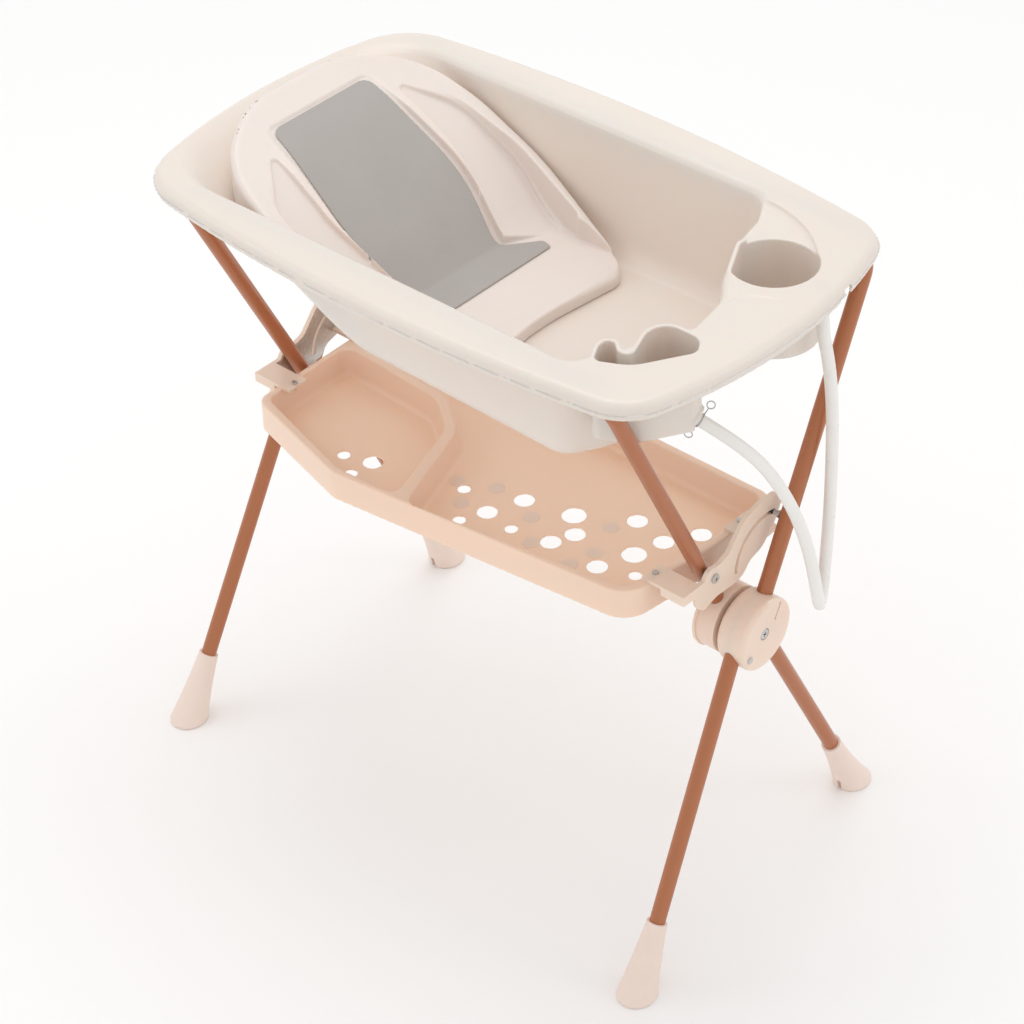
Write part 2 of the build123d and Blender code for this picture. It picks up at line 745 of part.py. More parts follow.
def make_top_bar(leg_x, bar_x, side):
    """Bent bar that joins both upper legs under the rim, with spigots into them."""
    _, joint, corner = upper_leg_points(leg_x, bar_x, side)
    other_joint = Vector(-joint.X, joint.Y, joint.Z)
    other_corner = Vector(-corner.X, corner.Y, corner.Z)
    path = FilletPolyline(joint, corner, other_corner, other_joint, radius=bar_bend_radius)
    start = Plane(origin=path @ 0, z_dir=path % 0)
    bar = sweep(start * (Circle(tube_radius) - Circle(tube_radius - tube_wall)), path=path)
    inner = tube_radius - tube_wall
    down = (joint - corner).normalized()
    spigot = pipe(joint + down * spigot_length, joint - down * spigot_length, inner, tube_wall)
    return bar + spigot + mirrored(spigot)


def make_boot(leg_x, side, spread):
    """Rubber boot that flares from the tube to a wide flat sole."""
    top, foot = lower_leg_points(leg_x, side, spread)
    down = (foot - top).normalized()
    collar = foot - down * (boot_height / -down.Z)
    waist = foot - down * (boot_height / 2 / -down.Z)
    sole = Pos(foot.X, foot.Y, 0) * Ellipse(boot_half_width, boot_half_length)
    middle = Pos(waist.X, waist.Y, waist.Z) * Ellipse(boot_waist_width, boot_waist_length)
    ring = Plane(origin=collar, x_dir=(1, 0, 0), z_dir=down * -1) * Circle(boot_collar_radius)
    boot = loft([sole.face(), middle.face(), ring.face()])
    boot = fillet(boot.edges().group_by(Axis.Z)[0], boot_edge_radius)
    boot -= rod(foot - down * ((boot_height - boot_tube_depth) / -down.Z), collar - down * overrun, tube_radius)
    slot_y = foot.Y + side * (boot_half_length - boot_slot_height)
    slot = Box(boot_slot_width, boot_slot_height, 2 * boot_slot_height)
    return boot - Pos(foot.X, slot_y + side * boot_slot_height, boot_slot_height) * slot


# Hinge hub on the +X end

def hub_plane(x, side):
    """Plane at an X place whose Y axis runs up the leg and whose X axis runs across it."""
    return Plane(origin=(x, 0, hub_height), x_dir=across(side), z_dir=(1, 0, 0))


def hub_disc(start, end, radius, side):
    """Disc of the hub between two X places."""
    return hub_plane(start, side) * Cylinder(radius, end - start, align=(Align.CENTER, Align.CENTER, Align.MIN))


def leg_sockets(leg_x, bar_x, spread, side):
    """Round spaces that the two legs of one frame fill in its hub."""
    start, _, corner = upper_leg_points(leg_x, bar_x, side)
    top, foot = lower_leg_points(leg_x, side, spread)
    return rod(start, corner, tube_radius) + rod(top, foot, tube_radius)


def outer_sockets():
    """Leg spaces of the outer frame."""
    return leg_sockets(outer_leg_x, outer_bar_x, outer_foot_spread, 1)


def inner_sockets():
    """Leg spaces of the inner frame."""
    return leg_sockets(inner_leg_x, inner_leg_x, inner_foot_spread, -1)


def make_outer_shell():
    """Outer half of the hub, with a raised crescent, a screw recess and a short groove."""
    shell = hub_disc(hub_split, hub_outer_face + hub_ridge, hub_radius, 1)
    shell = fillet(shell.edges().group_by(Axis.X)[-1], hub_edge_radius)
    keep = 2 * hub_radius
    lowered = Box(keep, 2 * keep, 2 * hub_ridge, align=(Align.MIN, Align.CENTER, Align.MIN))
    shell -= hub_plane(hub_outer_face, 1) * Pos(-hub_ridge_across, 0, 0) * lowered
    shell -= outer_sockets()
    head_floor = hub_outer_face - bolt_head_height
    shell -= hub_disc(head_floor, hub_outer_face + overrun, bolt_head_radius + recess_fit, 1)
    shell -= hub_disc(hub_split - overrun, hub_outer_face, bolt_radius, 1)
    groove = Box(hub_groove_width, hub_radius / 2, 2 * hub_groove_depth)
    shell -= hub_plane(hub_outer_face, 1) * Pos(hub_radius / 4, hub_radius * 5 / 8, 0) * groove
    return shell - rivet_hole()


def rivet_centre(x):
    """Place of the rivet near the lower end of the ridge."""
    return hub_plane(x, 1) * Pos(-hub_ridge_across - rivet_head_radius, -hub_radius * rivet_place_share, 0)


def rivet_hole():
    """Round hole through both hub shells for the rivet."""
    length = hub_outer_face - hub_inner_face + 2 * overrun
    hole = Cylinder(rivet_radius, length, align=(Align.CENTER, Align.CENTER, Align.MIN))
    return rivet_centre(hub_inner_face - overrun) * hole


def make_inner_shell():
    """Inner half of the hub, with a round inner edge and a spacer boss."""
    shell = hub_disc(hub_inner_face, hub_split, hub_radius, 1)
    shell = fillet(shell.edges().group_by(Axis.X)[0], hub_edge_radius)
    shell += hub_disc(cheek_outer_face + rest_gap, hub_inner_face + hub_edge_radius, spacer_radius, 1)
    shell -= outer_sockets()
    shell -= hub_disc(cheek_outer_face - overrun, hub_split + overrun, bolt_radius, 1)
    return shell - rivet_hole()


def make_cheek():
    """Hub half of the inner frame: a flange disc and a body open round the upper leg."""
    flange = hub_disc(cheek_inner_face, cheek_inner_face + cheek_flange, cheek_radius, -1)
    body = hub_disc(cheek_inner_face, cheek_outer_face, cheek_radius - cheek_flange / 2, -1)
    keep = 2 * cheek_radius
    cut = Box(2 * keep, keep, 2 * keep, align=(Align.CENTER, Align.MIN, Align.CENTER))
    body -= hub_plane(cheek_inner_face, -1) * Pos(0, cheek_open_height, 0) * cut
    boss = hub_disc(cheek_inner_face, cheek_outer_face, cheek_boss_radius, -1)
    cheek = flange + body + boss - inner_sockets()
    cheek -= hub_disc(cheek_inner_face - overrun, cheek_outer_face + overrun, bolt_radius + bolt_fit, -1)
    nut_end = cheek_inner_face + rest_gap + nut_thickness + rest_gap
    return cheek - hub_disc(cheek_inner_face - overrun, nut_end, nut_radius + recess_fit, -1)


def make_bolt():
    """Pivot bolt through the whole hub, with a cross recess in its head."""
    head_floor = hub_outer_face - bolt_head_height
    bolt = hub_disc(cheek_inner_face + rest_gap, head_floor, bolt_radius, 1)
    bolt += hub_disc(head_floor, hub_outer_face, bolt_head_radius, 1)
    bolt = fillet(bolt.edges().group_by(Axis.X)[-1], bolt_head_height / 4)
    for turn in (0, 90):
        bar = Box(bolt_head_radius, bolt_radius / 3, bolt_head_height)
        bolt -= hub_plane(hub_outer_face, 1) * Rot(0, 0, turn) * bar
    return bolt


def make_nut():
    """Hexagonal nut sunk in the cheek."""
    start = cheek_inner_face + rest_gap
    nut = extrude(hub_plane(start, -1) * RegularPolygon(nut_radius, 6), amount=nut_thickness)
    return nut - hub_disc(start - overrun, start + overrun, bolt_radius, -1)


def make_rivet():
    """Rivet that holds the two hub shells together."""
    seat = (Align.CENTER, Align.CENTER, Align.MIN)
    top = hub_outer_face + hub_ridge
    shank = rivet_centre(hub_inner_face) * Cylinder(rivet_radius, top - hub_inner_face, align=seat)
    head = rivet_centre(top) * Cylinder(rivet_head_radius, rivet_head_height, align=seat)
    head = fillet(head.edges().group_by(Axis.X)[-1], rivet_head_height / 2)
    return shank + head


# Tray

def tray_points(inset=0.0):
    """Tray outline and corner radii, moved inward by an inset."""
    points = [(x * tray_half_length, y * tray_near_y) for x, y in tray_shares]
    radii = [share * tray_corner_radius for share in tray_radius_shares]
    return grow(points, radii, -inset)


def tray_pocket(points, radii):
    """Tapering pocket down to the tray floor from an outline at its top."""
    floor = tray_top - tray_depth + tray_floor_rise + tray_floor_thickness
    inset = (tray_top - floor) * tan(radians(tray_draft))
    upper = outline_face((points, radii), tray_top)
    lower_points = grow(points, radii, -inset)[0]
    lower_radii = [max(radius - inset / 2, tray_floor_radius) for radius in radii]
    lower = outline_face((lower_points, lower_radii), floor)
    pocket = loft([lower, upper], ruled=True)
    pocket = fillet(pocket.edges().group_by(Axis.Z)[0], tray_floor_radius)
    return pocket + prism(upper, overrun)


def small_pocket(growth):
    """Outline of the near left compartment, grown by an amount."""
    points = [(x * tray_half_length, y * tray_near_y) for x, y in compartment_shares]
    radii = [share * tray_corner_radius for share in compartment_radius_shares]
    return grow(points, radii, growth)


def main_pocket(growth):
    """Outline of the large compartment, grown by an amount."""
    points = [(x * tray_half_length, y * tray_near_y) for x, y in main_shares]
    radii = [share * tray_corner_radius for share in main_radius_shares]
    return grow(points, radii, growth)


def tray_holes():
    """Round drain holes through the tray floor, in three sizes."""
    low = tray_top - tray_depth - overrun
    holes = []
    tables = (small_hole_shares, middle_hole_shares, large_hole_shares)
    for shares, size in zip(tables, (hole_small, hole_middle, hole_large)):
        for x_share, y_share in shares:
            x = x_share * tray_half_length
            y = y_share * tray_near_y
            holes.append(rod((x, y, low), (x, y, low + 2 * overrun), size / 2))
    return holes


def make_tray():
    """Storage tray with two compartments, drain holes and ears for the brackets."""
    bottom = tray_top - tray_depth
    block = prism(outline_face(tray_points(), bottom), tray_depth)
    block = fillet(block.edges().group_by(Axis.Z)[-1], tray_edge_radius)
    core = prism(outline_face(tray_points(tray_wall), bottom - overrun), tray_depth - tray_wall + overrun)
    pockets = tray_pocket(*small_pocket(0.0)) + tray_pocket(*main_pocket(0.0))
    thick = tray_pocket(*small_pocket(tray_wall)) + tray_pocket(*main_pocket(tray_wall))
    thick = Pos(0, 0, -tray_floor_thickness) * thick
    tray = block - (core - thick) - pockets
    tray -= tray_holes()
    for x, y in arm_screw_places():
        drill = rod((x, y, tray_top - overrun / 2), (x, y, tray_top + overrun), arm_screw_radius)
        tray -= [drill, mirrored(drill)]
    return tray


# Tray bracket on the +X end, with the pivot on the inner frame's leg

def leg_y(height):
    """How far an upper leg's centre line stands from the hinge at a height."""
    return (height - hub_height) * lean.Y / lean.Z


def pivot_place():
    """Y and Z of the tray's pivot on the inner frame's upper leg."""
    return -leg_y(pivot_height), pivot_height


def pin_place():
    """Y and Z of the guide pin on the outer frame's upper leg."""
    return pin_distance * lean.Y, hub_height + pin_distance * lean.Z


def slot_centre():
    """Centre of the guide slot's arc, so that the slot ends at the guide pin."""
    y, z = pin_place()
    return y - slot_radius * cos(radians(slot_high_angle)), z - slot_radius * sin(radians(slot_high_angle))


def slot_tool(start, thickness):
    """Arched slot through the bracket."""
    y, z = slot_centre()
    arc = CenterArc((y, z), slot_radius, slot_high_angle, slot_low_angle - slot_high_angle)
    place = Plane(origin=(start, 0, 0), x_dir=(0, 1, 0), z_dir=(1, 0, 0))
    return extrude(place * SlotArc(arc, slot_width), amount=thickness)


def bracket_plate(start, thickness, inset):
    """Upright plate round the pivot and the slot, from one X place outward."""
    y, z = slot_centre()
    points = [(y + a * slot_radius, z + b * slot_radius) for a, b, _ in bracket_shares]
    radii = [c * slot_radius for _, _, c in bracket_shares]
    face = outline_face(grow(points, radii, -inset), 0.0)
    place = Plane(origin=(start, 0, 0), x_dir=(0, 1, 0), z_dir=(1, 0, 0))
    return extrude(place * face, amount=thickness)


def arm_screw_places():
    """Places of the two vertical screws that hold the bracket's arms on the tray's lip."""
    near_y = (near_arm_start + near_arm_end) / 2
    far_y = (far_arm_start + far_arm_end) / 2
    return [(near_arm_screw_x, near_y), (far_arm_screw_x, far_y)]


def arm_boxes(growth):
    """The bracket's two arms on the tray's lip and the near arm's skirt, wider by a growth."""
    outer = bracket_face + bracket_thickness
    boxes = []
    arms = ((near_arm_screw_x, near_arm_start, near_arm_end), (far_arm_screw_x, far_arm_start, far_arm_end))
    for screw_x, low, high in arms:
        reach = screw_x - arm_screw_head_radius - arm_thickness / 2
        width = high - low + 2 * growth
        arm = Box(outer - reach, width, arm_thickness + 2 * growth, align=(Align.MIN, Align.MIN, Align.MIN))
        boxes.append(Pos(reach, low - growth, tray_top - growth) * arm)
    skirt_start = tray_half_length + arm_skirt_gap
    skirt_size = (outer - skirt_start, arm_thickness + 2 * growth, arm_skirt_drop + growth)
    skirt = Box(*skirt_size, align=(Align.MIN, Align.MIN, Align.MAX))
    boxes.append(Pos(skirt_start, near_arm_start - growth, tray_top) * skirt)
    return boxes


def make_bracket():
    """Tray bracket: slotted plate with two arms that lie on the tray's lip."""
    bracket = bracket_plate(bracket_face, bracket_thickness, 0.0) + arm_boxes(0.0)
    bracket -= slot_tool(bracket_face - overrun, 2 * overrun)
    for x, y in arm_screw_places():
        bracket -= rod((x, y, tray_top - overrun), (x, y, tray_top + overrun), arm_screw_radius)
    y, z = pivot_place()
    return bracket - disc(bracket_face - overrun, 2 * overrun, pivot_screw_radius + pivot_fit, y, z)


def make_slot_plate():
    """Thin steel plate behind the bracket with the same slot and pivot hole."""
    start = bracket_face - plate_thickness
    plate = bracket_plate(start, plate_thickness, plate_inset)
    plate -= slot_tool(start - overrun, 2 * overrun)
    plate -= arm_boxes(rest_gap)
    y, z = pivot_place()
    return plate - disc(start - overrun, 2 * overrun, pivot_screw_radius + pivot_fit, y, z)


def make_buffer():
    """Rubber buffer in the slot's upper end."""
    y, z = pin_place()
    length = plate_thickness + bracket_thickness + pin_tip_gap / 2
    return disc(bracket_face - plate_thickness, length, slot_width / 2, y, z)


def make_pivot_screw():
    """Shouldered screw that pivots the tray's bracket on the inner leg."""
    y, z = pivot_place()
    face = bracket_face + bracket_thickness
    screw = disc(inner_leg_x, face - inner_leg_x, pivot_screw_radius, y, z)
    head = disc(face, pivot_head_height, pivot_head_radius, y, z)
    head = fillet(head.edges().group_by(Axis.X)[-1], pivot_head_height / 3)
    for turn in (0, 90):
        bar = Box(pivot_head_height, pivot_head_radius, pivot_screw_radius / 3)
        head -= Pos(face + pivot_head_height, y, z) * Rot(turn, 0, 0) * bar
    return screw + head


def make_guide_pin():
    """Pin on the outer leg that runs in the tray bracket's slot, with a collar."""
    y, z = pin_place()
    rise_share = (z - hub_height) / (bar_height - hub_height)
    leg_x = outer_leg_x + (outer_bar_x - outer_leg_x) * rise_share
    tip = bracket_face + bracket_thickness + pin_tip_gap
    pin = disc(tip, leg_x - tip, pin_radius, y, z)
    collar_start = leg_x - tube_radius - rest_gap - pin_collar_length
    return pin + disc(collar_start, pin_collar_length, pin_collar_radius, y, z)


def make_arm_screws():
    """The four pan head screws that hold both brackets on the tray."""
    screws = []
    for x, y in arm_screw_places():
        top = tray_top + arm_thickness
        shank = rod((x, y, top - arm_screw_length), (x, y, top), arm_screw_radius)
        head = rod((x, y, top), (x, y, top + arm_screw_head_height), arm_screw_head_radius)
        head = fillet(head.edges().group_by(Axis.Z)[-1], arm_screw_head_height / 3)
        screws += [shank + head, mirrored(shank + head)]
    return Compound(children=screws)


# Write every sub-part; a piece of the stand's +X end is mirrored to the other end

os.makedirs("parts", exist_ok=True)

single_parts = {
    "tub_shell": make_tub,
    "drain_spout": make_spout,
    "drain_gasket": make_gasket,
    "drain_hose": make_hose,
    "hose_peg": make_peg,
    "spring_clamp": make_clamp,
    "seat_insert": make_seat,
    "seat_pad": make_pad,
    "storage_tray": make_tray,
    "bracket_screws": make_arm_screws,
}
for name, maker in single_parts.items():
    save(name, maker())

save("top_bar_far", make_top_bar(outer_leg_x, outer_bar_x, 1))
save("top_bar_near", make_top_bar(inner_leg_x, inner_leg_x, -1))

pin_y, pin_z = pin_place()
pivot_y, pivot_z = pivot_place()
pin_hole = disc(0, outer_leg_x, pin_radius, pin_y, pin_z)
pivot_hole = disc(inner_leg_x, overrun, pivot_screw_radius, pivot_y, pivot_z)
paired_parts = {
    "upper_leg_far": make_upper_leg(outer_leg_x, outer_bar_x, 1) - pin_hole,
    "upper_leg_near": make_upper_leg(inner_leg_x, inner_leg_x, -1) - pivot_hole,
    "lower_leg_near": make_lower_leg(outer_leg_x, 1, outer_foot_spread) - rivet_hole(),
    "lower_leg_far": make_lower_leg(inner_leg_x, -1, inner_foot_spread),
    "boot_near": make_boot(outer_leg_x, 1, outer_foot_spread),
    "boot_far": make_boot(inner_leg_x, -1, inner_foot_spread),
    "hub_outer_shell": make_outer_shell(),
    "hub_inner_shell": make_inner_shell(),
    "hub_cheek": make_cheek(),
    "hub_bolt": make_bolt(),
    "hub_nut": make_nut(),
    "hub_rivet": make_rivet(),
    "tray_bracket": make_bracket(),
    "slot_plate": make_slot_plate(),
    "slot_buffer": make_buffer(),
    "tray_pivot_screw": make_pivot_screw(),
    "guide_pin": make_guide_pin(),
}
for name, shape in paired_parts.items():
    save(f"{name}_right", shape)
    save(f"{name}_left", mirrored(shape))
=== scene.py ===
import logging
import math
from dataclasses import dataclass
from enum import Enum
from typing import Optional, Sequence

import bmesh
import bpy
from mathutils import Matrix, Vector


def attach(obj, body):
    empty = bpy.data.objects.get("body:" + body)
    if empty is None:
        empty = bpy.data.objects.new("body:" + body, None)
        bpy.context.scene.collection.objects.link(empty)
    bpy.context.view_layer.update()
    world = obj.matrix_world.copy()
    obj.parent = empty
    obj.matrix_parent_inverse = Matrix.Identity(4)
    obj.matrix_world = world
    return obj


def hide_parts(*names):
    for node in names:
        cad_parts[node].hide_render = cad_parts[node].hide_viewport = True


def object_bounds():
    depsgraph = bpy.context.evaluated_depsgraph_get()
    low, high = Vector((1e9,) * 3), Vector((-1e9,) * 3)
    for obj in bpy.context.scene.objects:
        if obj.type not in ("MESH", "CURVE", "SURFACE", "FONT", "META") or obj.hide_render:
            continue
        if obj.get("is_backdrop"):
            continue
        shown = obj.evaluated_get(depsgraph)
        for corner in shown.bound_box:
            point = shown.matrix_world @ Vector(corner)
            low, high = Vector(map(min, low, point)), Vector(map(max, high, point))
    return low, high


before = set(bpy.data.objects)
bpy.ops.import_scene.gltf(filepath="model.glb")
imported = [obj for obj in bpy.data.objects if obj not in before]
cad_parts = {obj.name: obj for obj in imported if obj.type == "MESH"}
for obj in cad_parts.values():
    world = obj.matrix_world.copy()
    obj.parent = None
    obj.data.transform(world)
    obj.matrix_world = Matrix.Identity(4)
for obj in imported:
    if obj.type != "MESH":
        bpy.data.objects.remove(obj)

# Looks of the baby bathtub on its folding stand. All lengths are metres.

log = logging.getLogger("bathtub")

Colour = tuple[float, float, float]
Point = tuple[float, float, float]

IMAGE_SIZE = 1024
SENSOR_WIDTH = 36.0
SIDES = ("right", "left")

# Range in which the noise nodes' values mostly lie.
NOISE_LOW = 0.3
NOISE_HIGH = 0.7

# Number of finer layers in a noise.
FINE_DETAIL = 1.0
MEDIUM_DETAIL = 2.0
RICH_DETAIL = 3.0


class Body(Enum):
    """Bodies of the frame that the script's own pieces ride on."""

    TRAY = "tray"
    TUB = "tub"
    SEAT = "seat"


def both(*names: str) -> list[str]:
    """Names of the right and left copies of paired nodes.

    Args:
        names: Node names without their side.

    Returns:
        Every name with each side's ending.
    """
    return [f"{name}_{side}" for name in names for side in SIDES]


class Sketch:
    """Small builder for one material's nodes."""

    def __init__(self, name: str) -> None:
        """Start a material with a plain surface shader.

        Args:
            name: Name of the material.
        """
        self.material = bpy.data.materials.new(name)
        self.material.use_nodes = True
        self.tree = self.material.node_tree
        self.tree.nodes.clear()
        self.output = self.add("ShaderNodeOutputMaterial")
        self.shader = self.add("ShaderNodeBsdfPrincipled")
        self.link(self.shader, "BSDF", self.output, "Surface")

    def add(self, kind: str, **values: object) -> bpy.types.Node:
        """Add a node and set its inputs by name.

        Args:
            kind: Blender's type name of the node.
            values: Input names, with spaces as underscores, and their values.

        Returns:
            The new node.
        """
        node = self.tree.nodes.new(kind)
        for key, value in values.items():
            node.inputs[key.replace("_", " ")].default_value = value
        return node

    def link(self, start: bpy.types.Node, out: object, end: bpy.types.Node, into: object) -> None:
        """Join one node's output to another's input.

        Args:
            start: Node that gives the value.
            out: Name or number of its output.
            end: Node that takes the value.
            into: Name or number of its input.
        """
        self.tree.links.new(start.outputs[out], end.inputs[into])

    def place(self, stretch: Point = (1.0, 1.0, 1.0)) -> bpy.types.Node:
        """Texture place in metres that stays with the piece.

        Args:
            stretch: Scale of the texture along each axis.

        Returns:
            The mapping node whose Vector output gives the place.
        """
        coordinates = self.add("ShaderNodeTexCoord")
        mapping = self.add("ShaderNodeMapping", Scale=stretch)
        self.link(coordinates, "Object", mapping, "Vector")
        return mapping

    def noise(self, place: bpy.types.Node, scale: float, detail: float) -> bpy.types.Node:
        """Cloudy noise at a scale.

        Args:
            place: Node that gives the texture place.
            scale: Cells per metre.
            detail: Number of finer layers.

        Returns:
            The noise node.
        """
        node = self.add("ShaderNodeTexNoise", Scale=scale, Detail=detail)
        self.link(place, "Vector", node, "Vector")
        return node

    def spread(self, source: bpy.types.Node, low: float, high: float) -> bpy.types.Node:
        """Stretch a noise value to a range.

        Args:
            source: Noise node.
            low: Value where the noise is low.
            high: Value where the noise is high.

        Returns:
            The map range node.
        """
        node = self.add("ShaderNodeMapRange")
        node.inputs["From Min"].default_value = NOISE_LOW
        node.inputs["From Max"].default_value = NOISE_HIGH
        node.inputs["To Min"].default_value = low
        node.inputs["To Max"].default_value = high
        self.link(source, 0, node, "Value")
        return node

    def tint(self, source: bpy.types.Node, low: Colour, high: Colour) -> None:
        """Colour the surface between two shades by a noise.

        Args:
            source: Noise node.
            low: Colour where the noise is low.
            high: Colour where the noise is high.
        """
        share = self.spread(source, 0.0, 1.0)
        mix = self.add("ShaderNodeMix")
        mix.data_type = "RGBA"
        mix.inputs[6].default_value = (*low, 1.0)
        mix.inputs[7].default_value = (*high, 1.0)
        self.link(share, "Result", mix, 0)
        self.tree.links.new(mix.outputs[2], self.shader.inputs["Base Color"])

    def roughen(self, source: bpy.types.Node, low: float, high: float) -> None:
        """Vary the gloss between two roughness values by a noise.

        Args:
            source: Noise node.
            low: Roughness where the noise is low.
            high: Roughness where the noise is high.
        """
        spread = self.spread(source, low, high)
        self.link(spread, "Result", self.shader, "Roughness")

    def bump(self, heights: Sequence[tuple[bpy.types.Node, float]], depth: float) -> None:
        """Raise fine relief from one or more noises.

        Args:
            heights: Noise nodes, each with its share of the relief.
            depth: Depth of the whole relief in metres.
        """
        total: Optional[bpy.types.Node] = None
        for source, share in heights:
            part = self.add("ShaderNodeMath")
            part.operation = "MULTIPLY"
            part.inputs[1].default_value = share
            self.link(source, 0, part, 0)
            if total is None:
                total = part
                continue
            added = self.add("ShaderNodeMath")
            added.operation = "ADD"
            self.link(total, 0, added, 0)
            self.link(part, 0, added, 1)
            total = added
        node = self.add("ShaderNodeBump", Strength=1.0, Distance=depth)
        self.link(total, 0, node, "Height")
        self.link(node, "Normal", self.shader, "Normal")

    def set(self, **values: object) -> None:
        """Set constant inputs of the surface shader by name.

        Args:
            values: Input names, with spaces as underscores, and their values.
        """
        for key, value in values.items():
            self.shader.inputs[key.replace("_", " ")].default_value = value


@dataclass(frozen=True)
class MouldedPlastic:
    """Injection-moulded plastic with faint flow clouds and a fine skin."""

    name: str
    colour: Colour
    shade: Colour
    gloss_low: float = 0.30
    gloss_high: float = 0.38
    cloud_scale: float = 5.0
    skin_scale: float = 900.0
    wave_scale: float = 26.0
    skin_share: float = 0.25
    wave_share: float = 1.6
    skin_depth: float = 0.00005
    glow: float = 0.20
    glow_radius: Colour = (0.018, 0.008, 0.005)
    coat: float = 0.15
    coat_roughness: float = 0.22
    refraction: float = 1.49

    def material(self) -> bpy.types.Material:
        """Make the material of this plastic.

        Returns:
            The new material.
        """
        sketch = Sketch(self.name)
        place = sketch.place()
        clouds = sketch.noise(place, self.cloud_scale, RICH_DETAIL)
        skin = sketch.noise(place, self.skin_scale, MEDIUM_DETAIL)
        waves = sketch.noise(place, self.wave_scale, MEDIUM_DETAIL)
        sketch.tint(clouds, self.shade, self.colour)
        sketch.roughen(waves, self.gloss_low, self.gloss_high)
        sketch.bump(((skin, self.skin_share), (waves, self.wave_share)), self.skin_depth)
        sketch.set(Subsurface_Weight=self.glow, Subsurface_Radius=self.glow_radius, Subsurface_Scale=1.0)
        sketch.set(Coat_Weight=self.coat, Coat_Roughness=self.coat_roughness, IOR=self.refraction)
        return sketch.material


@dataclass(frozen=True)
class MetallicPaint:
    """Satin metallic paint on drawn steel tube."""

    name: str
    colour: Colour
    shade: Colour
    flake_scale: float = 2600.0
    draw_stretch: Point = (60.0, 60.0, 6.0)
    gloss_low: float = 0.34
    gloss_high: float = 0.46
    flake_share: float = 0.4
    relief_depth: float = 0.00003
    metal: float = 0.55
    coat: float = 0.35
    coat_roughness: float = 0.18

    def material(self) -> bpy.types.Material:
        """Make the material of this paint.

        Returns:
            The new material.
        """
        sketch = Sketch(self.name)
        flakes = sketch.noise(sketch.place(), self.flake_scale, FINE_DETAIL)
        streaks = sketch.noise(sketch.place(self.draw_stretch), 1.0, RICH_DETAIL)
        sketch.tint(flakes, self.shade, self.colour)
        sketch.roughen(streaks, self.gloss_low, self.gloss_high)
        sketch.bump(((flakes, self.flake_share), (streaks, 1.0)), self.relief_depth)
        sketch.set(Metallic=self.metal, Coat_Weight=self.coat, Coat_Roughness=self.coat_roughness)
        return sketch.material


@dataclass(frozen=True)
class SoftFoam:
    """Closed-cell foam with a finely pitted matt skin."""

    name: str
    colour: Colour
    shade: Colour
    cell_scale: float = 1100.0
    cloud_scale: float = 14.0
    gloss_low: float = 0.62
    gloss_high: float = 0.74
    cloud_share: float = 0.8
    cell_depth: float = 0.00012
    sheen: float = 0.15
    sheen_roughness: float = 0.5

    def material(self) -> bpy.types.Material:
        """Make the material of this foam.

        Returns:
            The new material.
        """
        sketch = Sketch(self.name)
        place = sketch.place()
        cells = sketch.add("ShaderNodeTexVoronoi", Scale=self.cell_scale)
        sketch.link(place, "Vector", cells, "Vector")
        clouds = sketch.noise(place, self.cloud_scale, RICH_DETAIL)
        sketch.tint(clouds, self.shade, self.colour)
        sketch.roughen(clouds, self.gloss_low, self.gloss_high)
        sketch.bump(((cells, 1.0), (clouds, self.cloud_share)), self.cell_depth)
        sketch.set(Sheen_Weight=self.sheen, Sheen_Roughness=self.sheen_roughness)
        return sketch.material


@dataclass(frozen=True)
class Rubber:
    """Moulded rubber or soft vinyl with a dull skin."""

    name: str
    colour: Colour
    shade: Colour
    gloss_low: float = 0.42
    gloss_high: float = 0.55
    skin_scale: float = 700.0
    cloud_scale: float = 30.0
    cloud_share: float = 0.6
    skin_depth: float = 0.00006
    refraction: float = 1.45

    def material(self) -> bpy.types.Material:
        """Make the material of this rubber.

        Returns:
            The new material.
        """
        sketch = Sketch(self.name)
        place = sketch.place()
        skin = sketch.noise(place, self.skin_scale, MEDIUM_DETAIL)
        clouds = sketch.noise(place, self.cloud_scale, MEDIUM_DETAIL)
        sketch.tint(clouds, self.shade, self.colour)
        sketch.roughen(clouds, self.gloss_low, self.gloss_high)
        sketch.bump(((skin, 1.0), (clouds, self.cloud_share)), self.skin_depth)
        sketch.set(IOR=self.refraction)
        return sketch.material


@dataclass(frozen=True)
class PlatedSteel:
    """Zinc-plated or drawn steel with fine marks."""

    name: str
    colour: Colour
    shade: Colour
    mark_stretch: Point = (40.0, 900.0, 900.0)
    cloud_scale: float = 160.0
    gloss_low: float = 0.24
    gloss_high: float = 0.40
    mark_depth: float = 0.00002

    def material(self) -> bpy.types.Material:
        """Make the material of this steel.

        Returns:
            The new material.
        """
        sketch = Sketch(self.name)
        marks = sketch.noise(sketch.place(self.mark_stretch), 1.0, RICH_DETAIL)
        clouds = sketch.noise(sketch.place(), self.cloud_scale, MEDIUM_DETAIL)
        sketch.tint(clouds, self.shade, self.colour)
        sketch.roughen(marks, self.gloss_low, self.gloss_high)
        sketch.bump(((marks, 1.0),), self.mark_depth)
        sketch.set(Metallic=1.0)
        return sketch.material


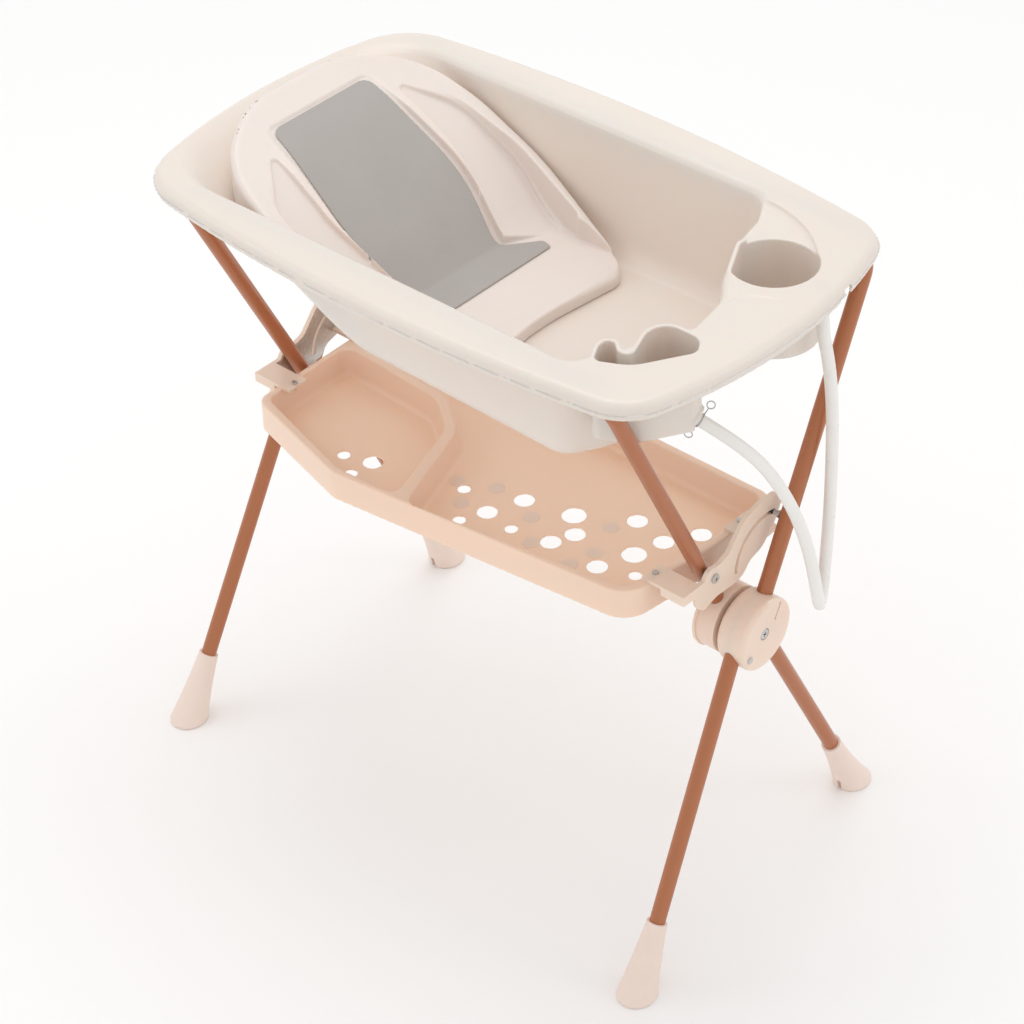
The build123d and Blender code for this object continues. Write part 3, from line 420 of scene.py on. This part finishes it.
class Finish(Enum):
    """Every finish of the object, with the name of its slot."""

    TUB = MouldedPlastic("tub_plastic", (0.790, 0.712, 0.650), (0.777, 0.698, 0.634))
    SEAT = MouldedPlastic("seat_plastic", (0.840, 0.728, 0.668), (0.826, 0.712, 0.650), glow=0.14)
    TRAY = MouldedPlastic("tray_plastic", (0.950, 0.690, 0.540), (0.936, 0.670, 0.518), glow=0.14)
    DISC = MouldedPlastic("tray_disc", (0.950, 0.730, 0.590), (0.940, 0.715, 0.575), glow=0.14)
    HUB = MouldedPlastic("hub_plastic", (0.880, 0.690, 0.570), (0.866, 0.672, 0.550))
    BOOT = Rubber("boot_rubber", (0.870, 0.720, 0.640), (0.850, 0.700, 0.615))
    TUBE = MetallicPaint("tube_paint", (0.490, 0.180, 0.078), (0.410, 0.142, 0.060))
    PAD = SoftFoam("pad_foam", (0.420, 0.392, 0.368), (0.398, 0.371, 0.348))
    HOSE = Rubber("hose_vinyl", (0.880, 0.860, 0.825), (0.860, 0.840, 0.800), 0.25, 0.34)
    FITTING = MouldedPlastic("fitting_plastic", (0.820, 0.780, 0.740), (0.800, 0.760, 0.720))
    STEEL = PlatedSteel("plated_steel", (0.620, 0.610, 0.590), (0.560, 0.550, 0.530))
    WIRE = PlatedSteel("clamp_wire", (0.560, 0.550, 0.530), (0.500, 0.490, 0.470))
    BLACK = Rubber("black_rubber", (0.030, 0.029, 0.028), (0.022, 0.021, 0.020))

    def dress(self, piece: bpy.types.Object) -> None:
        """Give a piece this finish.

        Args:
            piece: Mesh or curve that gets the material.
        """
        name = self.value.name
        found = bpy.data.materials.get(f"look_{name}")
        if found is None:
            found = self.value.material()
            found.name = f"look_{name}"
        piece.data.materials.clear()
        piece.data.materials.append(found)


def dress_nodes(finish: Finish, names: Sequence[str]) -> None:
    """Give CAD nodes a finish.

    Args:
        finish: Finish of the nodes.
        names: Names of the nodes.
    """
    for name in names:
        finish.dress(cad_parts[name])
        log.info("dressed %s with %s", name, finish.value.name)


def evaluated_copy(piece: bpy.types.Object) -> bpy.types.Mesh:
    """Mesh of a piece with its modifiers applied.

    Args:
        piece: Object with modifiers.

    Returns:
        A new mesh.
    """
    bpy.context.view_layer.update()
    graph = bpy.context.evaluated_depsgraph_get()
    return bpy.data.meshes.new_from_object(piece.evaluated_get(graph))


@dataclass
class Moulding:
    """A moulded piece made from a CAD node, with the soft edges of its mould."""

    node: str
    body: Body
    finish: Finish
    cell: float
    passes: int
    keep_share: float
    smooth_share: float = 0.5
    cells_per_weld: int = 100

    def build(self) -> bpy.types.Object:
        """Build the moulding in place of its node.

        Returns:
            The new piece.
        """
        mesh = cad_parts[self.node].data.copy()
        work = bmesh.new()
        work.from_mesh(mesh)
        bmesh.ops.remove_doubles(work, verts=work.verts, dist=self.cell / self.cells_per_weld)
        work.to_mesh(mesh)
        work.free()
        piece = bpy.data.objects.new(f"{self.node}_moulding", mesh)
        bpy.context.scene.collection.objects.link(piece)
        cells = piece.modifiers.new("cells", "REMESH")
        cells.mode = "VOXEL"
        cells.voxel_size = self.cell
        smooth = piece.modifiers.new("smooth", "SMOOTH")
        smooth.factor = self.smooth_share
        smooth.iterations = self.passes
        lighter = piece.modifiers.new("lighter", "DECIMATE")
        lighter.ratio = self.keep_share
        made = evaluated_copy(piece)
        piece.modifiers.clear()
        piece.data = made
        made.name = f"{self.node}_moulding"
        made.polygons.foreach_set("use_smooth", [True] * len(made.polygons))
        self.finish.dress(piece)
        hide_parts(self.node)
        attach(piece, self.body.value)
        log.info("moulded %s: %d faces", self.node, len(made.polygons))
        return piece


@dataclass
class Camera:
    """Camera at the photograph's angle."""

    place: Point = (2.17585, -2.35896, 2.90962)
    yaw: float = 42.819
    pitch: float = 37.936
    roll: float = 1.814
    focal_pixels: float = 3242.4
    far_limit: float = 60.0

    def build(self) -> None:
        """Make the camera and use it for the scene."""
        yaw = math.radians(self.yaw)
        pitch = math.radians(self.pitch)
        roll = math.radians(self.roll)
        right = Vector((math.cos(yaw), math.sin(yaw), 0))
        level = math.cos(pitch)
        ahead = Vector((-math.sin(yaw) * level, math.cos(yaw) * level, -math.sin(pitch)))
        down = ahead.cross(right)
        across = right * math.cos(roll) + down * math.sin(roll)
        below = down * math.cos(roll) - right * math.sin(roll)
        data = bpy.data.cameras.new("camera")
        data.sensor_width = SENSOR_WIDTH
        data.lens = self.focal_pixels / IMAGE_SIZE * SENSOR_WIDTH
        data.clip_end = self.far_limit
        camera = bpy.data.objects.new("camera", data)
        bpy.context.scene.collection.objects.link(camera)
        turn = Matrix((across, -below, -ahead)).transposed()
        camera.matrix_world = Matrix.Translation(self.place) @ turn.to_4x4()
        bpy.context.scene.camera = camera


@dataclass
class Lamp:
    """One soft area lamp that points at the object."""

    name: str
    place: Point
    size: float
    power: float
    aim: Point = (0.0, 0.0, 0.5)

    def build(self) -> None:
        """Make the lamp."""
        data = bpy.data.lights.new(self.name, "AREA")
        data.shape = "DISK"
        data.size = self.size
        data.energy = self.power
        lamp = bpy.data.objects.new(self.name, data)
        lamp.location = self.place
        way = Vector(self.aim) - Vector(self.place)
        lamp.rotation_mode = "QUATERNION"
        lamp.rotation_quaternion = way.to_track_quat("-Z", "Y")
        bpy.context.scene.collection.objects.link(lamp)


@dataclass
class Studio:
    """Pale floor, even white surroundings and soft lamps."""

    floor_size: float = 40.0
    floor_colour: Colour = (0.960, 0.957, 0.954)
    world_strength: float = 1.13
    background: float = 1.0
    fibre_scale: float = 300.0
    fibre_shade: float = 0.99
    floor_roughness: float = 0.9
    floor_shine: float = 0.1
    lamps: tuple[Lamp, ...] = (
        Lamp("overhead", (-0.6, 0.5, 3.6), 2.0, 19.0),
        Lamp("window", (-2.6, -2.2, 2.4), 1.6, 7.0),
        Lamp("counter", (2.8, 1.6, 2.6), 1.2, 6.0),
    )

    def build(self) -> None:
        """Make the floor, the world and the lamps."""
        self.build_floor()
        self.build_world()
        for lamp in self.lamps:
            lamp.build()
        bpy.context.scene.view_settings.view_transform = "Standard"

    def build_floor(self) -> None:
        """Make the floor, which keeps the object's shadow."""
        mesh = bpy.data.meshes.new("floor")
        half = self.floor_size / 2
        corners = [(-half, -half, 0), (half, -half, 0), (half, half, 0), (-half, half, 0)]
        mesh.from_pydata([Vector(corner) for corner in corners], [], [(0, 1, 2, 3)])
        floor = bpy.data.objects.new("floor", mesh)
        bpy.context.scene.collection.objects.link(floor)
        sketch = Sketch("floor_paper")
        fibres = sketch.noise(sketch.place(), self.fibre_scale, MEDIUM_DETAIL)
        low = tuple(self.fibre_shade * value for value in self.floor_colour)
        sketch.tint(fibres, low, self.floor_colour)
        sketch.set(Roughness=self.floor_roughness, Specular_IOR_Level=self.floor_shine)
        mesh.materials.append(sketch.material)
        floor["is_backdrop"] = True

    def build_world(self) -> None:
        """Light the scene evenly, and show white behind it."""
        world = bpy.data.worlds.new("surroundings")
        bpy.context.scene.world = world
        world.use_nodes = True
        tree = world.node_tree
        tree.nodes.clear()
        output = tree.nodes.new("ShaderNodeOutputWorld")
        light = tree.nodes.new("ShaderNodeBackground")
        light.inputs["Strength"].default_value = self.world_strength
        shown = tree.nodes.new("ShaderNodeBackground")
        shown.inputs["Strength"].default_value = self.background
        path = tree.nodes.new("ShaderNodeLightPath")
        either = tree.nodes.new("ShaderNodeMath")
        either.operation = "MAXIMUM"
        either_more = tree.nodes.new("ShaderNodeMath")
        either_more.operation = "MAXIMUM"
        mix = tree.nodes.new("ShaderNodeMixShader")
        tree.links.new(path.outputs["Is Camera Ray"], either.inputs[0])
        tree.links.new(path.outputs["Is Glossy Ray"], either.inputs[1])
        tree.links.new(either.outputs[0], either_more.inputs[0])
        tree.links.new(path.outputs["Is Transmission Ray"], either_more.inputs[1])
        tree.links.new(either_more.outputs[0], mix.inputs[0])
        tree.links.new(light.outputs[0], mix.inputs[1])
        tree.links.new(shown.outputs[0], mix.inputs[2])
        tree.links.new(mix.outputs[0], output.inputs["Surface"])


@dataclass
class DrainHose:
    """Soft hose from the drain spout down, round and up to the peg under the rim."""

    diameter: float = 0.015
    length: float = 0.815
    curve_order: int = 3
    steps_along: int = 12
    steps_round: int = 8
    route: tuple[Point, ...] = (
        (0.3570, -0.0885, 0.7715), (0.3950, -0.0670, 0.7450), (0.4200, -0.0390, 0.7020),
        (0.4380, -0.0130, 0.6400), (0.4490, 0.0070, 0.5700), (0.4540, 0.0210, 0.4888),
        (0.4380, 0.0465, 0.4587), (0.4155, 0.0825, 0.4587), (0.3995, 0.1080, 0.4888),
        (0.4005, 0.1100, 0.5700), (0.4010, 0.1070, 0.6900), (0.3980, 0.0990, 0.7650),
        (0.3895, 0.0940, 0.8100), (0.3895, 0.0940, 0.8520),
    )

    def build(self) -> None:
        """Make the hose as one smooth tube."""
        curve = bpy.data.curves.new("drain_hose_tube", "CURVE")
        curve.dimensions = "3D"
        spline = curve.splines.new("NURBS")
        spline.points.add(len(self.route) - 1)
        for point, place in zip(spline.points, self.route):
            point.co = (*place, 1.0)
        spline.order_u = self.curve_order
        spline.use_endpoint_u = True
        spline.resolution_u = self.steps_along
        spline.use_smooth = True
        curve.bevel_depth = self.diameter / 2
        curve.bevel_resolution = self.steps_round
        curve.use_fill_caps = True
        hose = bpy.data.objects.new("drain_hose_tube", curve)
        bpy.context.scene.collection.objects.link(hose)
        Finish.HOSE.dress(hose)
        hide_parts("drain_hose")
        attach(hose, Body.TUB.value)
        log.info("made the drain hose")


@dataclass
class Bead:
    """Fine moulded line round the tub's skirt, along the ridge of the CAD shell."""

    low: float = 0.8540
    rise: float = 0.0012
    radius: float = 0.0012
    reach: float = 0.18
    turn_digits: int = 3
    steps_round: int = 3
    notch_x: float = 0.38
    notch_y: tuple[float, float] = (0.1025, 0.1275)

    def line(self) -> list[Vector]:
        """Find the line, from one side of the skirt's notch round to the other.

        Returns:
            Points on the shell's ridge, in order.
        """
        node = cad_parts["tub_shell"]
        spots = {}
        for vertex in node.data.vertices:
            place = node.matrix_world @ vertex.co
            off_level = abs(place.z - self.low) > self.rise / 4
            if off_level or math.hypot(place.x, 2 * place.y) < 2 * self.reach:
                continue
            turn = round(math.atan2(place.y, place.x), self.turn_digits)
            if turn not in spots or place.length > spots[turn].length:
                spots[turn] = place
        start = math.atan2(sum(self.notch_y) / 2, self.notch_x)
        turns = sorted(spots, key=lambda turn: (turn - start) % math.tau)
        return [Vector((spots[turn].x, spots[turn].y, self.low + self.rise)) for turn in turns]

    def build(self) -> None:
        """Make the line as a thin round ridge."""
        places = self.line()
        curve = bpy.data.curves.new("skirt_bead", "CURVE")
        curve.dimensions = "3D"
        spline = curve.splines.new("POLY")
        spline.points.add(len(places) - 1)
        for point, place in zip(spline.points, places):
            point.co = (*place, 1.0)
        curve.bevel_depth = self.radius
        curve.bevel_resolution = self.steps_round
        curve.use_fill_caps = True
        draft = bpy.data.objects.new("skirt_bead_draft", curve)
        bpy.context.scene.collection.objects.link(draft)
        bead = bpy.data.objects.new("skirt_bead", evaluated_copy(draft))
        bpy.data.objects.remove(draft)
        bpy.context.scene.collection.objects.link(bead)
        bead.data.polygons.foreach_set("use_smooth", [True] * len(bead.data.polygons))
        Finish.TUB.dress(bead)
        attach(bead, Body.TUB.value)
        log.info("made the skirt's bead from %d points", len(places))


@dataclass
class Tub:
    """Tub shell with its drain fittings."""

    cell: float = 0.0016
    passes: int = 3
    keep_share: float = 0.20

    def build(self) -> None:
        """Make the tub and dress its fittings."""
        Bead().build()
        Moulding("tub_shell", Body.TUB, Finish.TUB, self.cell, self.passes, self.keep_share).build()
        dress_nodes(Finish.FITTING, ["drain_spout", "hose_peg"])
        dress_nodes(Finish.BLACK, ["drain_gasket"])
        dress_nodes(Finish.WIRE, ["spring_clamp"])


@dataclass
class Seat:
    """Seat insert with its soft pad."""

    cell: float = 0.0014
    passes: int = 10
    keep_share: float = 0.25
    pad_cell: float = 0.0009
    pad_passes: int = 8
    pad_keep_share: float = 0.2
    pad_fill: float = 0.7

    def build(self) -> None:
        """Make the insert and the pad."""
        Moulding("seat_insert", Body.SEAT, Finish.SEAT, self.cell, self.passes, self.keep_share).build()
        pad = Moulding(
            "seat_pad", Body.SEAT, Finish.PAD, self.pad_cell, self.pad_passes, self.pad_keep_share)
        pad.build()


@dataclass
class BlindDiscs:
    """Closed round marks on the tray floor, as wide as the small drain holes."""

    floor_height: float = 0.4795
    thickness: float = 0.0003
    radius: float = 0.0105
    sides: int = 40
    places: tuple[tuple[float, float], ...] = (
        (0.011, -0.048), (-0.003, -0.099), (0.082, -0.065), (0.063, -0.132), (0.114, -0.102),
        (0.169, -0.018), (0.186, -0.068), (0.177, -0.103), (-0.036, -0.069),
    )

    def build(self) -> None:
        """Make every disc in one piece."""
        mesh = bpy.data.meshes.new("tray_blind_discs")
        work = bmesh.new()
        for x, y in self.places:
            place = Matrix.Translation((x, y, self.floor_height))
            bmesh.ops.create_cone(
                work, cap_ends=True, segments=self.sides, radius1=self.radius,
                radius2=self.radius - self.thickness, depth=2 * self.thickness, matrix=place)
        work.to_mesh(mesh)
        work.free()
        discs = bpy.data.objects.new("tray_blind_discs", mesh)
        bpy.context.scene.collection.objects.link(discs)
        Finish.DISC.dress(discs)
        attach(discs, Body.TRAY.value)


@dataclass
class Tray:
    """Storage tray with its brackets, guide plates and screws."""

    cell: float = 0.0015
    passes: int = 4
    keep_share: float = 0.22

    def build(self) -> None:
        """Make the tray and dress its brackets."""
        BlindDiscs().build()
        Moulding("storage_tray", Body.TRAY, Finish.TRAY, self.cell, self.passes, self.keep_share).build()
        dress_nodes(Finish.HUB, both("tray_bracket"))
        dress_nodes(Finish.STEEL, both("slot_plate") + ["bracket_screws"])
        dress_nodes(Finish.BLACK, both("slot_buffer"))


@dataclass
class Stand:
    """Folding stand: tubes, hubs and boots."""

    def build(self) -> None:
        """Dress the tubes, hubs and boots."""
        legs = both("upper_leg_far", "upper_leg_near", "lower_leg_near", "lower_leg_far")
        dress_nodes(Finish.TUBE, legs + ["top_bar_far", "top_bar_near"])
        dress_nodes(Finish.HUB, both("hub_outer_shell", "hub_inner_shell", "hub_cheek"))
        dress_nodes(Finish.STEEL, both("hub_bolt", "hub_nut", "hub_rivet"))
        dress_nodes(Finish.STEEL, both("guide_pin", "tray_pivot_screw"))
        dress_nodes(Finish.BOOT, both("boot_near", "boot_far"))


def corners() -> list[list[float]]:
    """Lowest and highest corner of what is shown, as plain numbers."""
    return [list(corner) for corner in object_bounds()]


def main() -> None:
    """Build the scene around the frame."""
    logging.basicConfig(level=logging.INFO, format="%(name)s: %(message)s")
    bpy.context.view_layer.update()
    Camera().build()
    DrainHose().build()
    Tub().build()
    Seat().build()
    Tray().build()
    Stand().build()
    Studio().build()


if __name__ == "__main__":
    main()
